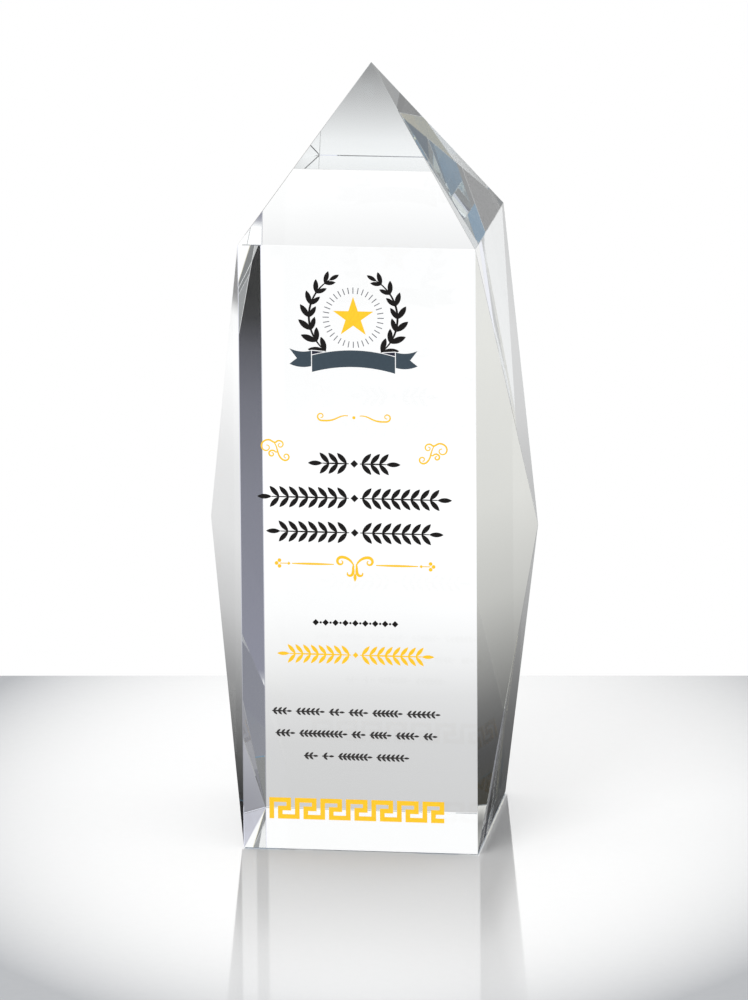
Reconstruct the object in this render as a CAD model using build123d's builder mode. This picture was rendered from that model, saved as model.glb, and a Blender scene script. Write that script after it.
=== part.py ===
from build123d import *
import os
from math import cos, pi, sin, tan

# Crystal award: one solid block of optical crystal, ground from a sawn blank into an
# obelisk with bulging sides, and printed with ink films on its front face.
# Millimetres, +Z up, front face towards -Y. The origin is on the table, at the middle of
# the footprint.

# ---- driving dimensions -------------------------------------------------------------
total_height = 200
block_width = 60.5  # across the front face
block_depth = 60.5
shoulder_height = 158  # where the pyramid top starts
ridge_height = 80  # where each side stands out furthest
ridge_reach = 12.3  # how far each side's point stands out past the shoulders
blank_allowance = 5  # spare stock round the sawn blank
arris = 0.2  # width of the narrow polished flat along every edge

ink = 0.08  # thickness of the cured ink
hairline = 0.22  # thinnest printed stroke
print_centre = -0.9  # the print sits slightly left of the middle of the face

wreath_height = 139.8
ribbon_height = 129.2
flourish_height = 113.9
corner_scroll_height = 104.9
title_heights = (101.9, 92.9, 83.9)
divider_height = 75.5
bead_height = 60.2
name_height = 51.8
message_heights = (36.6, 30.8, 24.9)
date_height = 10.8


# ---- the block ----------------------------------------------------------------------
def corner(side, face, height):
    """A corner of the square column: side -1 left, 1 right; face -1 front, 1 back."""
    return Vector(side * block_width / 2, face * block_depth / 2, height)


def ridge_point(side):
    """The point where a side's facets meet, half way between front and back."""
    return Vector(side * (block_width / 2 + ridge_reach), 0, ridge_height)


def cut_through(a, b, c):
    """The plane through three corners, facing away from the middle of the block."""
    normal = (b - a).cross(c - a).normalized()
    middle = Vector(0, 0, total_height / 2)
    if normal.dot(middle - a) > 0:
        normal = normal * -1
    return Plane(origin=a, z_dir=normal)


def facet_planes():
    """Every sloping facet: four on the pyramid and four on each side."""
    apex = Vector(0, 0, total_height)
    planes = []
    for face in (-1, 1):
        left_shoulder = corner(-1, face, shoulder_height)
        right_shoulder = corner(1, face, shoulder_height)
        planes.append(cut_through(apex, left_shoulder, right_shoulder))
    for side in (-1, 1):
        front_shoulder = corner(side, -1, shoulder_height)
        back_shoulder = corner(side, 1, shoulder_height)
        front_foot = corner(side, -1, 0)
        back_foot = corner(side, 1, 0)
        point = ridge_point(side)
        planes.append(cut_through(apex, front_shoulder, back_shoulder))
        planes.append(cut_through(point, front_shoulder, back_shoulder))
        planes.append(cut_through(point, front_foot, back_foot))
        planes.append(cut_through(point, front_shoulder, front_foot))
        planes.append(cut_through(point, back_shoulder, back_foot))
    return planes


def arris_planes(solid):
    """A shallow cut along each edge, square to the middle line between its two faces."""
    planes = []
    for edge in solid.edges():
        first, second = [face for face in solid.faces() if edge in face.edges()]
        first_normal = first.normal_at()
        outward = (first_normal + second.normal_at()).normalized()
        half_angle = outward.get_angle(first_normal) * pi / 180
        cut_depth = arris * tan(half_angle) / 2
        planes.append(Plane(origin=edge.center() - outward * cut_depth, z_dir=outward))
    return planes


with BuildPart() as crystal_block:
    with BuildSketch():
        Rectangle(block_width + 2 * (ridge_reach + blank_allowance), block_depth)
    extrude(amount=total_height + blank_allowance)
    for facet in facet_planes():
        split(bisect_by=facet, keep=Keep.BOTTOM)
    for flat in arris_planes(crystal_block.part):
        split(bisect_by=flat, keep=Keep.BOTTOM)


# ---- pen work -----------------------------------------------------------------------
def on_face(height):
    """The plane of a printed motif: its middle on the print's centre line, facing front."""
    return Plane(origin=(print_centre, -block_depth / 2, height), x_dir=(1, 0, 0), z_dir=(0, -1, 0))


def pen_stroke(centre_line, thick, samples=20):
    """A stroke along an edge that swells from a hairline at its ends to its middle."""
    left = []
    right = []
    for i in range(samples + 1):
        t = i / samples
        width = hairline + (thick - hairline) * sin(pi * t)
        along = centre_line.tangent_at(t)
        across = Vector(-along.Y, along.X) * (width / 2)
        left.append(centre_line.position_at(t) + across)
        right.append(centre_line.position_at(t) - across)
    with BuildSketch() as shape:
        with BuildLine():
            Spline(*left)
            Line(left[-1], right[-1])
            Spline(*right)
            Line(right[0], left[0])
        make_face()
    return shape.sketch


def spiral(middle, outer, inner, start, turns):
    """Points that wind in round middle from radius outer to inner; start is in degrees."""
    steps = round(12 * abs(turns)) + 2
    points = []
    for i in range(steps + 1):
        radius = outer * (inner / outer) ** (i / steps)
        angle = (start + 360 * turns * i / steps) * pi / 180
        points.append(Vector(middle[0] + radius * cos(angle), middle[1] + radius * sin(angle)))
    return points


sprig_stem = 0.4
tip_share = 0.9  # how much of its tip leaf stands past a stem's end
first_pair = 0.2  # where the first pair of leaves sits, in leaf pitches


def leaf(length, width):
    """A leaf pointed at both ends, lying along +X from the origin."""
    with BuildSketch() as shape:
        with BuildLine():
            ThreePointArc((0, 0), (length * 0.5, width / 2), (length, 0))
            ThreePointArc((0, 0), (length * 0.5, -width / 2), (length, 0))
        make_face()
    return shape.sketch


def sprig(length, pitch, leaf_size, lean):
    """A stem along +X from the origin, with a leaf at its tip and pairs of leaves along it."""
    stem_length = length - leaf_size[0] * tip_share
    pairs = max(1, round(stem_length / pitch))
    stem = Line((0, 0), (stem_length, 0))
    with BuildSketch() as shape:
        add(pen_stroke(stem, sprig_stem))
        for pair in range(pairs):
            with Locations(stem.position_at((pair + first_pair) / pairs)):
                add(leaf(*leaf_size), rotation=lean)
                add(leaf(*leaf_size), rotation=-lean)
        with Locations(stem.position_at(1)):
            add(leaf(*leaf_size))
    return shape.sketch


# ---- emblem: a laurel wreath round a star, over a blank ribbon -----------------------
wreath_radius = 11.3
wreath_leaf = (4.7, 1.7)
wreath_stem = 0.55
leaf_pairs = 7
lowest_pair = 0.4  # where the lowest pair sits, in leaf pitches
leaf_lean = 33  # how far each leaf turns off the stem
leaf_taper = 0.3  # how much smaller the leaves are at the top of a branch
inner_share = 0.85  # size of a leaf inside the wreath next to one outside it
branch_start = -58  # degrees round from +X, where the ribbon hides the stem
branch_end = 60
star_points = 5
star_radius = 5.4
star_waist = 2.06
ray_count = 36
ray_start = 6.2
ray_end = 7.8
band_half = 10.6
band_drop = 1.5  # how much lower the band's ends sit than its middle
band_tall = 4.3
tail_reach = 16.35
tail_tall = 4.0
tail_notch = 1.9
tail_sag = 0.5
tail_foot = -band_drop - band_tall / 2 + 1.5
fold_reach = 3.1
unprinted = 0.22  # clear line left between neighbouring colours


def band_shape(margin=0):
    """The ribbon's arched middle, grown by a margin."""
    half = band_half + margin
    foot = -band_tall / 2 - margin
    head = band_tall / 2 + margin
    with BuildSketch() as shape:
        with BuildLine():
            ThreePointArc((-half, foot - band_drop), (0, foot), (half, foot - band_drop))
            Line((half, foot - band_drop), (half, head - band_drop))
            ThreePointArc((half, head - band_drop), (0, head), (-half, head - band_drop))
            Line((-half, head - band_drop), (-half, foot - band_drop))
        make_face()
    return shape.sketch


def tail_shape(margin=0):
    """The ribbon's right tail with its swallow cut, grown by a margin."""
    root = band_half + unprinted - margin
    reach = tail_reach + margin
    middle = (root + reach) / 2
    foot = tail_foot - margin
    head = tail_foot + tail_tall + margin
    with BuildSketch() as shape:
        with BuildLine():
            ThreePointArc((root, foot), (middle, foot - tail_sag / 2), (reach, foot + tail_sag))
            Line((reach, foot + tail_sag), (reach - tail_notch, (foot + head) / 2))
            Line((reach - tail_notch, (foot + head) / 2), (reach, head + tail_sag))
            ThreePointArc((reach, head + tail_sag), (middle, head - tail_sag / 2), (root, head))
            Line((root, head), (root, foot))
        make_face()
    return shape.sketch


def fold_shape(margin=0):
    """The ribbon's right fold, a dark triangle between its middle and its tail."""
    outer = band_half
    foot = band_tall / 2 - band_drop + unprinted
    head = tail_foot + tail_tall
    lift = band_drop * (1 - (1 - fold_reach / band_half) ** 2)
    with BuildSketch() as triangle:
        with BuildLine():
            Polyline((outer, foot), (outer, head), (outer - fold_reach, foot + lift), close=True)
        make_face()
        if margin:
            offset(amount=margin)
    return triangle.sketch


branch = CenterArc((0, 0), wreath_radius, branch_start, branch_end - branch_start)
with BuildPart() as laurel_wreath:
    with BuildSketch(on_face(wreath_height)):
        add(pen_stroke(branch, wreath_stem))
        for pair in range(leaf_pairs):
            along = (pair + lowest_pair) / leaf_pairs
            angle = branch_start + 90 + along * (branch_end - branch_start)
            taper = 1 - leaf_taper * along
            outer_leaf = (wreath_leaf[0] * taper, wreath_leaf[1] * taper)
            inner_leaf = (outer_leaf[0] * inner_share, outer_leaf[1] * inner_share)
            with Locations(branch.position_at(along)):
                add(leaf(*outer_leaf), rotation=angle - leaf_lean)
                add(leaf(*inner_leaf), rotation=angle + leaf_lean)
        with Locations(branch.position_at(0.98)):
            add(leaf(*inner_leaf), rotation=branch_end + 90)
        with Locations((0, ribbon_height - wreath_height)):
            add(band_shape(unprinted), mode=Mode.SUBTRACT)
            add(tail_shape(unprinted), mode=Mode.SUBTRACT)
            add(fold_shape(unprinted), mode=Mode.SUBTRACT)
        mirror(about=Plane.YZ)
    extrude(amount=ink)

with BuildPart() as emblem_star:
    with BuildSketch(on_face(wreath_height)):
        with BuildLine():
            tips = []
            for i in range(2 * star_points):
                radius = star_radius if i % 2 == 0 else star_waist
                angle = pi / 2 + pi * i / star_points
                tips.append((radius * cos(angle), radius * sin(angle)))
            Polyline(*tips, close=True)
        make_face()
    extrude(amount=ink)

with BuildPart() as emblem_rays:
    with BuildSketch(on_face(wreath_height)):
        with PolarLocations((ray_start + ray_end) / 2, ray_count):
            Rectangle(ray_end - ray_start, hairline)
    extrude(amount=ink)

with BuildPart() as ribbon_band:
    with BuildSketch(on_face(ribbon_height)):
        add(band_shape())
    extrude(amount=ink)

with BuildPart() as ribbon_tails:
    with BuildSketch(on_face(ribbon_height)):
        add(tail_shape())
        mirror(about=Plane.YZ)
    extrude(amount=ink)

with BuildPart() as ribbon_folds:
    with BuildSketch(on_face(ribbon_height)):
        add(fold_shape())
        mirror(about=Plane.YZ)
    extrude(amount=ink)


# ---- gold scrolls --------------------------------------------------------------------
fine_stroke = 0.42
full_stroke = 0.75

flourish_line = Spline((1.5, 0.45), (3.2, 0.3), (5.4, -0.65), *spiral((8.4, 0.25), 1.2, 0.35, -105, 1.1))
with BuildPart() as small_flourish:
    with BuildSketch(on_face(flourish_height)):
        add(pen_stroke(flourish_line, fine_stroke, samples=40))
        mirror(about=Plane.YZ)
        Circle(0.4)
    extrude(amount=ink)

# Each corner scroll is a wide loop that crosses into a small curl, and a tail that hooks up.
scroll_offset = 20.4  # from the print's centre line to the middle of a scroll
wide_loop = reversed(spiral((2.0, 0.9), 2.0, 0.45, 115, -1.1))
small_curl = spiral((-1.4, 1.5), 1.3, 0.3, 30, 1.2)
loop_line = Spline(*wide_loop, *small_curl)
tail_line = Spline((0.2, 2.2), (-0.6, 0.6), (-1.3, -1.5), *spiral((-2.9, -1.5), 1.1, 0.35, -60, -1.1))
curl_line = Spline((-0.9, 0.2), *spiral((0.7, -0.9), 1.1, 0.3, 150, -1.2))


def corner_scroll(side):
    strokes = [pen_stroke(line, fine_stroke, samples=40) for line in (loop_line, tail_line, curl_line)]
    with BuildPart() as scroll:
        with BuildSketch(on_face(corner_scroll_height)):
            with Locations((scroll_offset, 0)):
                for stroke in strokes:
                    add(stroke)
            if side < 0:
                mirror(about=Plane.YZ, mode=Mode.REPLACE)
        extrude(amount=ink)
    return scroll


left_scroll = corner_scroll(-1)
right_scroll = corner_scroll(1)

# ---- divider: a fleur between two tapering rules -------------------------------------
rule_start = 5.4
rule_end = 16.2
rule_thick = 0.55
rule_diamond = 0.45
diamond_middle = 17.0
bar_middle = 18.2
bar_length = 2.2
trefoil_middle = 19.4
trefoil_spread = 0.75
trefoil_radius = 0.48

fleur_line = Spline((0.25, -0.6), (1.2, 1.1), *spiral((3.6, 0.7), 1.35, 0.35, 110, -1.0))
foot_line = Spline((0.3, 0.2), (0.45, -1.6), *spiral((1.55, -2.2), 0.95, 0.35, 190, 0.55))
with BuildPart() as divider_fleur:
    with BuildSketch(on_face(divider_height)):
        add(pen_stroke(fleur_line, full_stroke, samples=36))
        add(pen_stroke(foot_line, full_stroke, samples=36))
        mirror(about=Plane.YZ)
        with Locations((0, -4.4)):
            add(leaf(2.2, 0.8), rotation=90)
    extrude(amount=ink)

rule_line = Line((rule_start, 0), (rule_end, 0))
with BuildPart() as divider_rules:
    with BuildSketch(on_face(divider_height)):
        add(pen_stroke(rule_line, rule_thick))
        with Locations((diamond_middle, 0)):
            RegularPolygon(rule_diamond, 4)
        with Locations((bar_middle, 0)):
            Rectangle(bar_length, hairline)
        with Locations((trefoil_middle, 0)):
            with PolarLocations(trefoil_spread, 3, start_angle=-90, angular_range=180, endpoint=True):
                Circle(trefoil_radius)
        mirror(about=Plane.YZ)
    extrude(amount=ink)


# ---- lines where an inscription would be, each an ornament ----------------------------
garland_gap = 0.55  # from the middle to where each sprig starts, in leaf pitches
diamond_share = 0.8  # radius of the middle diamond next to a leaf's width


def garland_line(height, half_length, pitch, leaf_size, lean):
    """Two sprigs that grow outwards from a small diamond."""
    start = pitch * garland_gap
    half = sprig(half_length - start, pitch, leaf_size, lean)
    with BuildPart() as line:
        with BuildSketch(on_face(height)):
            with Locations((start, 0)):
                add(half)
            mirror(about=Plane.YZ)
            RegularPolygon(leaf_size[1] * diamond_share, 4)
        extrude(amount=ink)
    return line


title_leaf = (3.7, 1.25)
title_pitch = 2.6
title_lean = 48
title_halves = (11.5, 24.6, 22.4)
title_line_1 = garland_line(title_heights[0], title_halves[0], title_pitch, title_leaf, title_lean)
title_line_2 = garland_line(title_heights[1], title_halves[1], title_pitch, title_leaf, title_lean)
title_line_3 = garland_line(title_heights[2], title_halves[2], title_pitch, title_leaf, title_lean)

name_leaf = (3.2, 0.95)
name_pitch = 2.1
name_lean = 50
name_half = 19.9
name_line = garland_line(name_height, name_half, name_pitch, name_leaf, name_lean)

bead_count = 9
bead_pitch = 2.55
bead_radius = 0.85
dot_radius = 0.3
with BuildPart() as bead_rule:
    with BuildSketch(on_face(bead_height)):
        with GridLocations(bead_pitch, 0, bead_count, 1):
            RegularPolygon(bead_radius, 4)
        with GridLocations(bead_pitch, 0, bead_count - 1, 1):
            Circle(dot_radius)
    extrude(amount=ink)

# Small running sprigs, with the gaps of a short message set in three centred lines.
message_leaf = (1.45, 0.55)
message_pitch = 1.15
message_lean = 42
message_gap = 1.1
message_runs = (
    (5.0, 7.4, 4.0, 5.0, 7.8, 8.6),
    (5.0, 12.4, 3.6, 5.6, 6.0, 3.6),
    (3.6, 3.0, 8.8, 8.4),
)


def message_line(height, runs):
    """A row of sprigs, centred on the print's centre line."""
    sprigs = [sprig(run, message_pitch, message_leaf, message_lean) for run in runs]
    start = -(sum(runs) + message_gap * (len(runs) - 1)) / 2
    with BuildPart() as line:
        with BuildSketch(on_face(height)):
            for run, shape in zip(runs, sprigs):
                with Locations((start, 0)):
                    add(shape)
                start += run + message_gap
        extrude(amount=ink)
    return line


message_line_1 = message_line(message_heights[0], message_runs[0])
message_line_2 = message_line(message_heights[1], message_runs[1])
message_line_3 = message_line(message_heights[2], message_runs[2])

# A Greek key: each turn is three strokes tall and runs on into the next.
key_stroke = 1.2
key_grid = 2.2
key_turns = 7
with BuildPart() as date_band:
    with BuildSketch(on_face(date_height)):
        with BuildLine():
            half_run = (3 * key_turns - 1) / 2 * key_grid
            path = [(-half_run, -key_grid - key_stroke / 2)]
            for turn in range(key_turns):
                x = 3 * turn * key_grid - half_run
                path += [(x, key_grid), (x + 2 * key_grid, key_grid), (x + 2 * key_grid, 0)]
                path += [(x + key_grid, 0), (x + key_grid, -key_grid), (x + 3 * key_grid, -key_grid)]
            path[-1] = (half_run + key_stroke / 2, -key_grid)
            Polyline(*path)
        trace(line_width=key_stroke)
    extrude(amount=ink)

# ---- files ---------------------------------------------------------------------------
pieces = {
    "crystal_block": crystal_block,
    "laurel_wreath": laurel_wreath,
    "emblem_star": emblem_star,
    "emblem_rays": emblem_rays,
    "ribbon_band": ribbon_band,
    "ribbon_tails": ribbon_tails,
    "ribbon_folds": ribbon_folds,
    "small_flourish": small_flourish,
    "left_scroll": left_scroll,
    "right_scroll": right_scroll,
    "title_line_1": title_line_1,
    "title_line_2": title_line_2,
    "title_line_3": title_line_3,
    "divider_fleur": divider_fleur,
    "divider_rules": divider_rules,
    "bead_rule": bead_rule,
    "name_line": name_line,
    "message_line_1": message_line_1,
    "message_line_2": message_line_2,
    "message_line_3": message_line_3,
    "date_band": date_band,
}
os.makedirs("parts", exist_ok=True)
for name, piece in pieces.items():
    piece.part.label = name
    export_step(piece.part, "parts/%s.step" % name)
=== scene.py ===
import math

import bpy
from mathutils import Matrix, Vector


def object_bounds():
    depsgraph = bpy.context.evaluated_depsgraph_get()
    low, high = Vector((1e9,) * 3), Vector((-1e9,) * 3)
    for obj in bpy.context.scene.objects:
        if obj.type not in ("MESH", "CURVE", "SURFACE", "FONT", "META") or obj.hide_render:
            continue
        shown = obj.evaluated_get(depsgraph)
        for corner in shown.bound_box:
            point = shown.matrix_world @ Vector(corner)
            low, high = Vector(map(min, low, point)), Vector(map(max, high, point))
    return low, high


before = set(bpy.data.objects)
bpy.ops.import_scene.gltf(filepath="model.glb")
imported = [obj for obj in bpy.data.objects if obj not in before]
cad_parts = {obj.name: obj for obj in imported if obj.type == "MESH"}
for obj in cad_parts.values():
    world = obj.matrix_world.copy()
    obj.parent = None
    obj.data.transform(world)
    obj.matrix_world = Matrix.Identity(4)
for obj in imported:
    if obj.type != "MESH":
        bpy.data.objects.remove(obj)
cad_low, cad_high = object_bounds()

# Lengths are in metres and angles in degrees. A tone is a grey as the display shows it: 0 is
# black and 1 is white. A noise has its scale, in cycles per metre, and its number of octaves.
# The award stands on the origin, its front facing -Y.

MM = 0.001
CENTRE = (cad_low + cad_high) / 2
WHITE = (1, 1, 1, 1)

# ---------------------------------------------------------------- camera, light and sky

CAMERA_AZIMUTH = 7.725
CAMERA_ELEVATION = 13.365
CAMERA_ROLL = -0.389
CAMERA_DISTANCE = 2.120
CAMERA_DROP = 14.2 * MM
CAMERA_LENS = 296.7
SENSOR = 36.0
NEAR_CLIP = 0.1
FAR_CLIP = 20

LIGHT_PLACE = (-0.5, -1.1, 0.9)
LIGHT_SIDE = 0.7
LIGHT_POWER = 9.0

# The white sky as mirrors see it is weaker in front of the award and near the horizon. The
# ranges are the Y and the Z of a direction of length 1.
SKY_Y_RANGE = (-0.3, 0.7)
SKY_FRONT = 0.8
SKY_Z_RANGE = (0.08, 0.20)
SKY_HORIZON = 0.5

CRYSTAL_BOUNCES = 64
DIFFUSE_BOUNCES = 3

# ---------------------------------------------------------------- finishes of the award

CRYSTAL_IOR = 1.517
CRYSTAL_TINT = (0.55, 0.75, 0.80, 1)
CRYSTAL_DENSITY = 0.6
HAZE_NOISE = (60.0, 4.0)
HAZE_RANGE = (0.35, 0.75)
HAZE_ROUGHNESS = 0.012
WAVE_NOISE = (22.0, 1.0)
WAVE_STRENGTH = 0.02
WAVE_DEPTH = 0.4 * MM

# Each ink has its display colour, between 0 and 255, and its smallest roughness.
INKS = {
    "ink_black": ((20, 17, 17), 0.30),
    "ink_charcoal": ((52, 50, 50), 0.34),
    "ink_grey": ((104, 106, 112), 0.36),
    "ink_slate": ((58, 71, 81), 0.32),
    "ink_navy": ((36, 38, 56), 0.32),
    "ink_gold": ((246, 194, 40), 0.30),
}
INK_DARK = 0.97
INK_LIGHT = 1.03
INK_SPECULAR = 0.25
MOTTLE_NOISE = (1800.0, 3.0)
MOTTLE_RANGE = (0.35, 0.65)
PEEL_NOISE = (2600.0, 2.0)
PEEL_RANGE = (0.3, 0.7)
PEEL_ROUGHNESS = 0.12
PEEL_STRENGTH = 0.25
PEEL_DEPTH = 0.02 * MM

# ---------------------------------------------------------------- floor

FLOOR_GAP = 0.2 * MM
FLOOR_REACH = 3.0
FLOOR_BACK = 149 * MM
FLOOR_TURN = 6.2
FLOOR_MATT = (0.93, 0.93, 0.93, 1)
# The next colour is the painted shade mixed into the floor round its pool of light.
FLOOR_PAINTED_SHADE = (0.0, 0.02, 0.05, 1)
FLOOR_GLOSS = 0.5
FLOOR_ROUGHNESS = 0.05
GRAIN_NOISE = (400.0, 3.0)
GRAIN_RANGE = (0.3, 0.7)
GRAIN_DEPTH = 0.004

# The painted pool of light is an oval of painted shade in the floor's colour. Beyond the ring's end only
# FAR_SHADE of the ring's painted shade is left.
POOL_ACROSS = 150 * MM
POOL_ALONG = 255 * MM
POOL_RIGHT = 4 * MM
POOL_BACK = 24 * MM
POOL_EDGE = 2.3
POOL_DEPTH = 0.53
RING_START = 1.0
RING_END = 3.2
FAR_SHADE = 0.15

# ---------------------------------------------------------------- painted reflections: mirror card and floor reflection

# The card's glow is a painted reflection of the floor in the crystal's outside. Its tones go by
# the distance from the award in millimetres. From CARD_LIGHT forward to CARD_DARK the card's
# glow fades to CARD_FRONT.
CARD_REACH = 620 * MM
CARD_TONES = [(0, 0.05), (38, 0.05), (67, 0.21), (102, 0.33), (140, 0.46), (200, 0.62), (257, 0.72),
              (620, 0.97)]
CARD_DARK = -620 * MM
CARD_LIGHT = -300 * MM
CARD_FRONT = 0.35

# The painted reflection of the award in the floor is a glowing shell that follows the block. Its tones
# go by height in millimetres. Its stripe fades in and out between two places each.
BLOCK_HALF = 30.25 * MM
BLOCK_SHOULDER = 158 * MM
BLOCK_POINT = 42.55 * MM
BLOCK_POINT_HEIGHT = 80 * MM
BLOCK_TOP = 200 * MM
SHELL_GAP = 0.4 * MM
IMAGE_TOP = 60 * MM
IMAGE_FRONT = [(0, 0.50), (3, 0.57), (9, 0.65), (14, 0.70), (22, 0.80), (27, 0.87), (38, 1.0)]
IMAGE_SIDE = [(0, 0.0), (12, 0.0), (19, 0.45), (25, 0.66), (34, 0.80), (42, 0.90), (56, 1.0)]
STRIPE_LEFT = (-27.2 * MM, -26.6 * MM)
STRIPE_RIGHT = (-24.2 * MM, -23.4 * MM)
STRIPE_STRENGTH = 0.7

# ---------------------------------------------------------------- light tent

TENT_RADIUS = 300 * MM
TENT_LOW = -150 * MM
TENT_HIGH = 450 * MM
TENT_SIDES = 96
FOOT_HALF = 32 * MM
FOOT_DEPTH = 5 * MM

# A tent colour is divided by this in its ramp and multiplied by it in its emission, so that
# tones a little above white still fit in the ramp.
FULL_GLOW = 1.12

COOL = (0.94, 0.95, 1.06)
NAVY = (0.96, 0.97, 1.20)
AMBER = (1.05, 0.98, 0.62)
WARM = (1.01, 1.01, 0.96)
BLUE = (0.55, 0.95, 1.35)
STRAW = (1.10, 1.04, 0.80)
PLAIN = (1.0, 1.0, 1.0)

# A card of the tent has its tone at a few heights in millimetres. A stop may bring its own tint.
FRONT_CARD = [(-150, 0.60), (-60, 0.80), (-20, 0.95), (40, 0.95), (80, 0.78), (150, 0.78), (260, 0.92),
              (330, 0.60), (450, 0.40)]
BEHIND_CARD = [(-75, 0.84), (-54, 0.855), (-40, 0.905), (-30, 0.965), (-14, 1.02), (20, 1.05),
               (50, 1.03), (200, 1.02), (250, 0.62), (450, 0.45)]
BAND_CARD = [(-48.8, 1.05, PLAIN), (-46.4, 0.57), (-23, 0.54), (8, 0.50), (38, 0.43), (53, 0.33),
             (63, 0.14), (70, 0.05), (86, 0.05), (94, 0.97, PLAIN), (106, 0.97, PLAIN), (125, 0.42),
             (450, 0.50)]
EDGE_CARD = [(-130, 0.80), (-96, 0.50), (-84, 0.02), (-75, 0.20), (-63, 0.36), (-49, 0.51), (-35, 0.67),
             (-20, 0.83), (3, 0.94), (26, 0.95), (57, 1.05), (71, 1.0), (76, 0.02), (86, 0.02),
             (94, 0.9), (300, 0.5)]
SIDE_CARD = [(-140, 0.90), (-100, 0.70), (-80, 0.24, AMBER), (-60, 0.28), (-46, 0.445), (-31, 0.63),
             (-15, 0.775), (14, 0.88)]
CORNER_DIP = [(77, 0.92), (81, 0.52), (88, 0.72), (98, 0.90)]
NO_DIP = [(77, 0.92), (98, 0.90)]
SIDE_TOP = [(180, 0.86), (225, 0.54), (262, 0.46), (420, 0.25)]

# The cards round the tent's wall, each with its azimuth and tint: 0 is straight behind the award
# and 90 its +X side. Each card blends into the next.
TENT_CARDS = [
    (-180, COOL, FRONT_CARD),
    (-166, PLAIN, [(-85, 0.52), (-60, 0.72), (-20, 0.62), (5, 0.50), (40, 0.50), (80, 0.64), (150, 0.70),
                   (450, 0.40)]),
    (-152, PLAIN, [(-85, 0.50), (-60, 0.64), (-20, 0.60), (5, 0.50), (40, 0.50), (80, 0.60), (150, 0.68),
                   (450, 0.55)]),
    (-138, PLAIN, [(-100, 0.60), (-40, 0.64), (0, 0.75), (25, 0.70), (60, 0.58), (150, 0.66),
                   (300, 0.66), (450, 0.40)]),
    (-112, PLAIN, [(-90, 0.60), (-30, 0.85), (10, 0.98), (80, 0.98), (130, 0.70), (240, 0.50),
                   (420, 0.35, BLUE)]),
    (-86, PLAIN, [(-110, 0.80), (-90, 0.50), (-60, 0.66), (10, 0.80), (60, 0.98), (110, 0.60),
                  (240, 0.45), (420, 0.30, BLUE)]),
    (-66, WARM, SIDE_CARD + CORNER_DIP + [(180, 0.88), (225, 0.60, STRAW), (262, 0.56, BLUE),
                                          (310, 0.34), (420, 0.25)]),
    (-54.8, WARM, SIDE_CARD + CORNER_DIP + SIDE_TOP),
    (-54.3, WARM, SIDE_CARD + NO_DIP + SIDE_TOP),
    (-48, WARM, SIDE_CARD + NO_DIP + [(180, 0.85), (250, 0.42), (420, 0.25)]),
    (-30, PLAIN, [(-75, 0.80), (-50, 0.86), (-32, 0.95), (-10, 1.0), (40, 0.98), (120, 0.95),
                  (200, 0.60), (250, 0.55), (450, 0.50)]),
    (-16, PLAIN, BEHIND_CARD),
    (-2, PLAIN, BEHIND_CARD),
    (8, COOL, [(-75, 0.60), (-55, 0.62), (-38, 0.71), (-15, 0.82), (30, 0.90), (62, 0.80), (85, 1.0)]),
    (22, STRAW, [(-75, 0.66), (-50, 0.74), (0, 0.76), (60, 0.86), (100, 0.98)]),
    (36, PLAIN, EDGE_CARD),
    (48, PLAIN, EDGE_CARD),
    (60, COOL, [(-75, 0.58), (-50, 0.60), (0, 0.60), (60, 0.5), (150, 0.4), (450, 0.5)]),
    (78, COOL, [(-75, 0.60), (20, 0.42), (45, 0.12), (70, 0.04), (120, 0.12), (180, 0.34), (450, 0.50)]),
    (100, PLAIN, [(-60, 0.74), (20, 0.62), (60, 0.42), (100, 0.50), (180, 0.56), (450, 0.5)]),
    (134, NAVY, BAND_CARD),
    (150, NAVY, BAND_CARD),
    (168, COOL, [(-60, 0.66), (-20, 0.62), (0, 0.62), (60, 0.66), (150, 0.74), (450, 0.65)]),
    (180, COOL, FRONT_CARD),
]

# The tones of the level cards go by Y in millimetres, from the front of the award to behind it.
BOTTOM_TONES = [(-240, 0.48), (-83, 0.45), (0, 0.70), (100, 0.95), (250, 0.93)]
FOOT_TONES = [(-31, 0.62), (-10, 0.60), (0, 0.60), (6, 0.62), (13, 0.755), (20, 0.88), (26, 0.97),
              (31, 1.0)]
TOP_TONES = [(-200, 0.60), (0, 0.50), (180, 0.42)]


# ---------------------------------------------------------------- colours

def linear(tone):
    """The scene-linear value of a display tone."""
    return tone / 12.92 if tone <= 0.04045 else ((tone + 0.055) / 1.055) ** 2.4


def grey(tone, tint=PLAIN, factor=1.0):
    """A linear RGBA colour for a grey display tone with a slight tint."""
    return (*[linear(tone) * t * factor for t in tint], 1)


def display_colour(values, factor):
    """A linear RGBA colour from display values between 0 and 255."""
    return (*[linear(value / 255) * factor for value in values], 1)


# ---------------------------------------------------------------- node helpers

def new_material(name):
    """An empty node material with its output node."""
    material = bpy.data.materials.new(name)
    material.use_nodes = True
    material.node_tree.nodes.clear()
    output = material.node_tree.nodes.new("ShaderNodeOutputMaterial")
    return material, material.node_tree, output


def add(tree, kind, inputs=None, **settings):
    """A node of this kind, with settings on the node and values or links on its inputs."""
    node = tree.nodes.new(kind)
    for name, value in settings.items():
        setattr(node, name, value)
    for name, value in (inputs or {}).items():
        if isinstance(value, bpy.types.NodeSocket):
            tree.links.new(value, node.inputs[name])
        else:
            node.inputs[name].default_value = value
    return node


def maths(tree, operation, first, second=0.0, third=0.0, clamp=False):
    """The output of one Math node."""
    inputs = {0: first, 1: second, 2: third}
    return add(tree, "ShaderNodeMath", inputs, operation=operation, use_clamp=clamp).outputs[0]


def share_of(tree, value, start, end):
    """How far value has come from start to end, between 0 and 1."""
    inputs = {"Value": value, "From Min": start, "From Max": end}
    return add(tree, "ShaderNodeMapRange", inputs).outputs[0]


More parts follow.
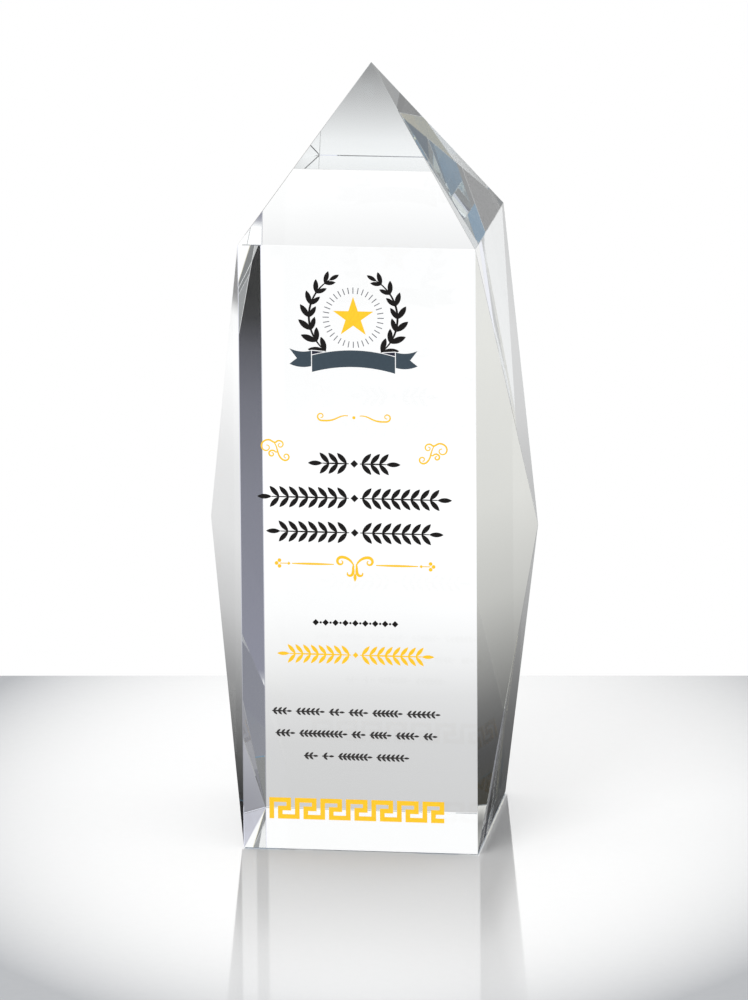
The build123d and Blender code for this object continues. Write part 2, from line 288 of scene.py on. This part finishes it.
def smooth_step(tree, value, start, end, low=0.0, high=1.0):
    """A smooth change from low to high as value goes from start to end."""
    inputs = {"Value": value, "From Min": start, "From Max": end, "To Min": low, "To Max": high}
    return add(tree, "ShaderNodeMapRange", inputs, interpolation_type="SMOOTHSTEP").outputs[0]


def blend_colours(tree, factor, first, second):
    """A mix of two colours."""
    inputs = {0: factor, 6: first, 7: second}
    return add(tree, "ShaderNodeMix", inputs, data_type="RGBA").outputs[2]


def blend_shaders(tree, factor, first, second):
    """A mix of two shaders."""
    return add(tree, "ShaderNodeMixShader", {0: factor, 1: first, 2: second}).outputs[0]


def ramp(tree, factor, stops):
    """A colour ramp with given stops, each a position and a colour."""
    node = add(tree, "ShaderNodeValToRGB", {"Fac": factor})
    elements = node.color_ramp.elements
    elements[0].position, elements[0].color = stops[0]
    elements[1].position, elements[1].color = stops[-1]
    for position, colour in stops[1:-1]:
        elements.new(position).color = colour
    return node.outputs["Color"]


def own_place(tree):
    """A point's place in the frame of the piece that it lies on."""
    return add(tree, "ShaderNodeTexCoord").outputs["Object"]


def parts_of(tree, vector):
    """The X, Y and Z of a vector."""
    return add(tree, "ShaderNodeSeparateXYZ", {"Vector": vector}).outputs


def noise(tree, place, scale, detail):
    """The output of one Noise Texture node."""
    inputs = {"Vector": place, "Scale": scale, "Detail": detail}
    return add(tree, "ShaderNodeTexNoise", inputs).outputs["Fac"]


def emission(tree, colour, strength=1.0):
    """The output of one Emission node."""
    return add(tree, "ShaderNodeEmission", {"Color": colour, "Strength": strength}).outputs[0]


# ---------------------------------------------------------------- materials of the award

def crystal_material():
    """Clear optical crystal: hand-polished faces with a trace of haze and waviness."""
    material, tree, output = new_material("optical_crystal")
    place = own_place(tree)
    polish = smooth_step(tree, noise(tree, place, *HAZE_NOISE), *HAZE_RANGE, 0.0, HAZE_ROUGHNESS)
    bump = add(tree, "ShaderNodeBump", {
        "Height": noise(tree, place, *WAVE_NOISE),
        "Strength": WAVE_STRENGTH,
        "Distance": WAVE_DEPTH})
    glass = add(tree, "ShaderNodeBsdfPrincipled", {
        "Base Color": WHITE,
        "Roughness": polish,
        "IOR": CRYSTAL_IOR,
        "Transmission Weight": 1.0,
        "Normal": bump.outputs["Normal"]})
    inside = add(tree, "ShaderNodeVolumeAbsorption", {
        "Color": CRYSTAL_TINT, "Density": CRYSTAL_DENSITY})
    tree.links.new(glass.outputs[0], output.inputs["Surface"])
    tree.links.new(inside.outputs[0], output.inputs["Volume"])
    return material


def ink_material(name, dark, light, gloss):
    """Cured print ink: a satin film with a fine mottle and a faint orange-peel surface."""
    material, tree, output = new_material(name)
    place = own_place(tree)
    mottle = smooth_step(tree, noise(tree, place, *MOTTLE_NOISE), *MOTTLE_RANGE)
    peel = noise(tree, place, *PEEL_NOISE)
    bump = add(tree, "ShaderNodeBump", {
        "Height": peel, "Strength": PEEL_STRENGTH, "Distance": PEEL_DEPTH})
    ink = add(tree, "ShaderNodeBsdfPrincipled", {
        "Base Color": blend_colours(tree, mottle, dark, light),
        "Roughness": smooth_step(tree, peel, *PEEL_RANGE, gloss, gloss + PEEL_ROUGHNESS),
        "Specular IOR Level": INK_SPECULAR,
        "Normal": bump.outputs["Normal"]})
    tree.links.new(ink.outputs[0], output.inputs["Surface"])
    return material


def dress_award():
    """Gives every CAD node the finish of its own slot, and hides the inks from mirror rays."""
    finishes = {"crystal": crystal_material()}
    for slot, (values, gloss) in INKS.items():
        dark = display_colour(values, INK_DARK)
        light = display_colour(values, INK_LIGHT)
        finishes[slot] = ink_material(slot + "_film", dark, light, gloss)
    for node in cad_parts.values():
        for place in node.material_slots:
            place.material = finishes[place.material.name]
        if node.material_slots[0].material != finishes["crystal"]:
            node.visible_glossy = False


# ---------------------------------------------------------------- stage helpers

def stage_mesh(name, corners, faces, material):
    """A stage piece from its corners and faces."""
    mesh = bpy.data.meshes.new(name)
    mesh.from_pydata(corners, [], faces)
    mesh.materials.append(material)
    piece = bpy.data.objects.new(name, mesh)
    bpy.context.scene.collection.objects.link(piece)
    return piece


def level_stage(name, half, back, z, material):
    """A level stage piece that reaches half to the left, right and front, and back behind."""
    corners = [(-half, -half, z), (half, -half, z), (half, back, z), (-half, back, z)]
    return stage_mesh(name, corners, [(0, 1, 2, 3)], material)


def seen_by(piece, camera=False, diffuse=False, glossy=False, transmission=False, shadow=False):
    """Limits which rays meet a stage piece."""
    piece.visible_camera = camera
    piece.visible_diffuse = diffuse
    piece.visible_glossy = glossy
    piece.visible_transmission = transmission
    piece.visible_volume_scatter = False
    piece.visible_shadow = shadow


def shine(material, tree, output, glow):
    """Gives a stage material its glowing surface, which isn't sampled as a lamp."""
    tree.links.new(glow, output.inputs["Surface"])
    material.cycles.emission_sampling = "NONE"


# ---------------------------------------------------------------- floor

def painted_pool_shade(tree, place):
    """How dark the painted shade makes the floor: not at all in the pool's middle, most in a ring, less
    far out.
    """
    parts = parts_of(tree, place)
    across = maths(tree, "DIVIDE", maths(tree, "SUBTRACT", parts["X"], POOL_RIGHT), POOL_ACROSS)
    along = maths(tree, "DIVIDE", maths(tree, "SUBTRACT", parts["Y"], POOL_BACK), POOL_ALONG)
    reach = maths(tree, "MULTIPLY_ADD", across, across, maths(tree, "MULTIPLY", along, along))
    fall = maths(tree, "MINIMUM", maths(tree, "POWER", reach, POOL_EDGE), POOL_DEPTH)
    beyond = smooth_step(tree, reach, RING_START, RING_END, 1.0, FAR_SHADE)
    return maths(tree, "MULTIPLY", fall, beyond)


def floor_material():
    """A pale polished floor: a pool of light painted into its colour round the award, whose painted
    shade falls off to pale blue-grey.
    """
    material, tree, output = new_material("pale_floor")
    place = own_place(tree)
    grain = noise(tree, place, *GRAIN_NOISE)
    speck = smooth_step(tree, grain, *GRAIN_RANGE, -GRAIN_DEPTH, GRAIN_DEPTH)
    # Painted shade: the pool of light and its darker ring are painted into the floor's colour; the grain
    # adds a fine random tone.
    shade = maths(tree, "ADD", painted_pool_shade(tree, place), speck, clamp=True)
    matt = add(tree, "ShaderNodeBsdfDiffuse", {
        "Color": blend_colours(tree, shade, FLOOR_MATT, FLOOR_PAINTED_SHADE)})
    gloss = add(tree, "ShaderNodeBsdfAnisotropic", {
        "Color": blend_colours(tree, shade, WHITE, FLOOR_PAINTED_SHADE), "Roughness": FLOOR_ROUGHNESS})
    both = blend_shaders(tree, FLOOR_GLOSS, matt.outputs[0], gloss.outputs[0])
    tree.links.new(both, output.inputs["Surface"])
    return material


def make_floor():
    """The floor, which ends in a straight line behind the award, before plain white."""
    z = cad_low.z - FLOOR_GAP
    floor = level_stage("studio_floor", FLOOR_REACH, FLOOR_BACK, z, floor_material())
    floor.rotation_euler.z = math.radians(FLOOR_TURN)
    seen_by(floor, camera=True, diffuse=True, shadow=True)


# ---------------------------------------------------------------- painted reflections: mirror card and floor reflection

def painted_reflection_card_material():
    """A painted reflection: what the outside of the crystal mirrors below the horizon, dark nearby and
    far in front.
    """
    material, tree, output = new_material("mirror_card")
    place = own_place(tree)
    reach = add(tree, "ShaderNodeVectorMath", {0: place}, operation="LENGTH").outputs["Value"]
    stops = [(distance * MM / CARD_REACH, grey(tone)) for distance, tone in CARD_TONES]
    colour = ramp(tree, share_of(tree, reach, 0.0, CARD_REACH), stops)
    depth = parts_of(tree, place)["Y"]
    strength = smooth_step(tree, depth, CARD_DARK, CARD_LIGHT, CARD_FRONT, 1.0)
    # Painted reflection: this glow stands in for the floor as the crystal's outside mirrors it.
    shine(material, tree, output, emission(tree, colour, strength))
    return material


def make_painted_reflection_card():
    """A glowing card just under the floor that only mirror reflections see: a painted reflection of the
    floor.
    """
    z = cad_low.z - 2 * FLOOR_GAP
    card = level_stage("mirror_card", FLOOR_REACH, FLOOR_REACH, z, painted_reflection_card_material())
    seen_by(card, glossy=True)


def image_colour(tree, height, tones):
    """The colour of the painted floor reflection by height."""
    return ramp(tree, height, [(z * MM / IMAGE_TOP, grey(tone)) for z, tone in tones])


def painted_reflection_shell_material():
    """A painted reflection of the award in the polished floor: a glow, darkest at its foot, fading out
    upwards.
    """
    material, tree, output = new_material("floor_image")
    parts = parts_of(tree, own_place(tree))
    height = share_of(tree, parts["Z"], 0.0, IMAGE_TOP)
    front = image_colour(tree, height, IMAGE_FRONT)
    side = image_colour(tree, height, IMAGE_SIDE)
    stripe_start = smooth_step(tree, parts["X"], *STRIPE_LEFT)
    stripe_end = smooth_step(tree, parts["X"], *STRIPE_RIGHT)
    stripe = maths(tree, "SUBTRACT", stripe_start, stripe_end)
    front = blend_colours(tree, maths(tree, "MULTIPLY", stripe, STRIPE_STRENGTH), front, side)
    width = maths(tree, "ABSOLUTE", parts["X"])
    outside = smooth_step(tree, width, BLOCK_HALF + SHELL_GAP, BLOCK_HALF + 2 * SHELL_GAP)
    # Painted reflection: this glow stands in for the award as the floor mirrors it.
    glow = emission(tree, blend_colours(tree, outside, front, side))
    clear = add(tree, "ShaderNodeBsdfTransparent").outputs[0]
    inside = add(tree, "ShaderNodeNewGeometry").outputs["Backfacing"]
    shine(material, tree, output, blend_shaders(tree, inside, glow, clear))
    return material


def make_painted_floor_reflection():
    """A one-sided glowing shell just outside the block, which only the floor's mirror reflections see:
    the award's painted reflection.
    """
    half = BLOCK_HALF + SHELL_GAP
    point = BLOCK_POINT + SHELL_GAP
    foot = cad_low.z
    shoulder = BLOCK_SHOULDER
    top = BLOCK_TOP + SHELL_GAP
    corners = [(-half, -half, foot), (half, -half, foot), (half, half, foot), (-half, half, foot),
               (-half, -half, shoulder), (half, -half, shoulder),
               (half, half, shoulder), (-half, half, shoulder),
               (-point, 0, BLOCK_POINT_HEIGHT), (point, 0, BLOCK_POINT_HEIGHT), (0, 0, top)]
    front_and_back = [(0, 1, 5, 4), (2, 3, 7, 6)]
    left = [(0, 4, 8), (4, 7, 8), (7, 3, 8), (3, 0, 8)]
    right = [(1, 2, 9), (2, 6, 9), (6, 5, 9), (5, 1, 9)]
    pyramid = [(4, 5, 10), (5, 6, 10), (6, 7, 10), (7, 4, 10)]
    faces = front_and_back + left + right + pyramid
    shell = stage_mesh("floor_image", corners, faces, painted_reflection_shell_material())
    seen_by(shell, glossy=True)


# ---------------------------------------------------------------- light tent

def card_colour(tree, height, tones, tint):
    """The colour of one card of the tent's wall by height."""
    stops = []
    for z, tone, *own in tones:
        position = (z * MM - TENT_LOW) / (TENT_HIGH - TENT_LOW)
        stops.append((position, grey(tone, own[0] if own else tint, 1 / FULL_GLOW)))
    return ramp(tree, height, stops)


def tent_material():
    """The glow of the tent's wall: its cards blend into each other round the award."""
    material, tree, output = new_material("light_tent")
    parts = parts_of(tree, own_place(tree))
    azimuth = maths(tree, "DEGREES", maths(tree, "ARCTAN2", parts["X"], parts["Y"]))
    height = share_of(tree, parts["Z"], TENT_LOW, TENT_HIGH)
    last_azimuth, tint, tones = TENT_CARDS[0]
    colour = card_colour(tree, height, tones, tint)
    for card_azimuth, tint, tones in TENT_CARDS[1:]:
        card = card_colour(tree, height, tones, tint)
        share = smooth_step(tree, azimuth, last_azimuth, card_azimuth)
        colour = blend_colours(tree, share, colour, card)
        last_azimuth = card_azimuth
    shine(material, tree, output, emission(tree, colour, FULL_GLOW))
    return material


def level_glow(name, tones, tint, half):
    """The glow of a level card that reaches half in front of the award and half behind it."""
    material, tree, output = new_material(name)
    depth = share_of(tree, parts_of(tree, own_place(tree))["Y"], -half, half)
    stops = []
    for y, tone in tones:
        stops.append(((y * MM + half) / (2 * half), grey(tone, tint, 1 / FULL_GLOW)))
    shine(material, tree, output, emission(tree, ramp(tree, depth, stops), FULL_GLOW))
    return material


def ring(z):
    """The corners of one tent ring."""
    turns = [2 * math.pi * side / TENT_SIDES for side in range(TENT_SIDES)]
    return [(TENT_RADIUS * math.sin(turn), TENT_RADIUS * math.cos(turn), z) for turn in turns]


def make_tent():
    """The light tent round the award. Only rays that have passed through the crystal see it."""
    sides = []
    for corner in range(TENT_SIDES):
        following = (corner + 1) % TENT_SIDES
        sides.append((corner, following, TENT_SIDES + following, TENT_SIDES + corner))
    cap = [tuple(range(TENT_SIDES))]
    bottom_glow = level_glow("tent_bottom_glow", BOTTOM_TONES, PLAIN, TENT_RADIUS)
    top_glow = level_glow("tent_top_glow", TOP_TONES, BLUE, TENT_RADIUS)
    foot_glow = level_glow("foot_glow", FOOT_TONES, PLAIN, FOOT_HALF)
    wall = stage_mesh("light_tent", ring(TENT_LOW) + ring(TENT_HIGH), sides, tent_material())
    bottom = stage_mesh("tent_bottom", ring(TENT_LOW), cap, bottom_glow)
    top = stage_mesh("tent_top", ring(TENT_HIGH), cap, top_glow)
    foot = level_stage("tent_foot", FOOT_HALF, FOOT_HALF, -FOOT_DEPTH, foot_glow)
    for piece in (wall, bottom, top, foot):
        seen_by(piece, transmission=True)


# ---------------------------------------------------------------- light, sky and camera

def make_light():
    """A soft box at the front left that points at the award and only lights matt surfaces."""
    data = bpy.data.lights.new("front_light", "AREA")
    data.shape = "RECTANGLE"
    data.size = LIGHT_SIDE
    data.size_y = LIGHT_SIDE
    data.energy = LIGHT_POWER
    light = bpy.data.objects.new("front_light", data)
    light.location = LIGHT_PLACE
    light.rotation_euler = (CENTRE - Vector(LIGHT_PLACE)).to_track_quat("-Z", "Y").to_euler()
    bpy.context.scene.collection.objects.link(light)
    light.visible_camera = False
    light.visible_glossy = False
    light.visible_transmission = False


def make_world():
    """A white studio: plain white to the eye, with a soft gradient for mirror reflections."""
    world = bpy.data.worlds.new("white_studio")
    bpy.context.scene.world = world
    world.use_nodes = True
    tree = world.node_tree
    tree.nodes.clear()
    output = add(tree, "ShaderNodeOutputWorld")
    parts = parts_of(tree, add(tree, "ShaderNodeTexCoord").outputs["Generated"])
    depth = smooth_step(tree, parts["Y"], *SKY_Y_RANGE, SKY_FRONT, 1.0)
    height = smooth_step(tree, parts["Z"], *SKY_Z_RANGE, SKY_HORIZON, 1.0)
    sky = maths(tree, "MULTIPLY", depth, height)
    mirror = add(tree, "ShaderNodeLightPath").outputs["Is Glossy Ray"]
    strength = maths(tree, "MULTIPLY_ADD", mirror, maths(tree, "SUBTRACT", sky, 1.0), 1.0)
    glow = add(tree, "ShaderNodeBackground", {"Color": WHITE, "Strength": strength})
    tree.links.new(glow.outputs[0], output.inputs["Surface"])


def make_camera():
    """The camera on the front right of the award, slightly above it."""
    azimuth = math.radians(CAMERA_AZIMUTH)
    elevation = math.radians(CAMERA_ELEVATION)
    level = math.cos(elevation)
    back = Vector((math.sin(azimuth) * level, -math.cos(azimuth) * level, math.sin(elevation)))
    right = Vector((math.cos(azimuth), math.sin(azimuth), 0))
    up = back.cross(right)
    data = bpy.data.cameras.new("camera")
    data.lens = CAMERA_LENS
    data.sensor_width = SENSOR
    data.clip_start = NEAR_CLIP
    data.clip_end = FAR_CLIP
    camera = bpy.data.objects.new("camera", data)
    upright = Matrix((right, up, back)).transposed()
    turn = upright @ Matrix.Rotation(math.radians(CAMERA_ROLL), 3, "Z")
    camera.rotation_mode = "QUATERNION"
    camera.rotation_quaternion = turn.to_quaternion()
    camera.location = CENTRE + back * CAMERA_DISTANCE - up * CAMERA_DROP
    bpy.context.scene.collection.objects.link(camera)
    bpy.context.scene.camera = camera


def set_render_quality():
    """Light paths deep enough for the crystal's inner reflections, and plain display colours."""
    scene = bpy.context.scene
    scene.cycles.max_bounces = CRYSTAL_BOUNCES
    scene.cycles.transmission_bounces = CRYSTAL_BOUNCES
    scene.cycles.glossy_bounces = CRYSTAL_BOUNCES
    scene.cycles.diffuse_bounces = DIFFUSE_BOUNCES
    scene.cycles.use_denoising = True
    scene.view_settings.view_transform = "Standard"


dress_award()
make_floor()
make_painted_reflection_card()
make_painted_floor_reflection()
make_tent()
make_world()
make_light()
make_camera()
set_render_quality()
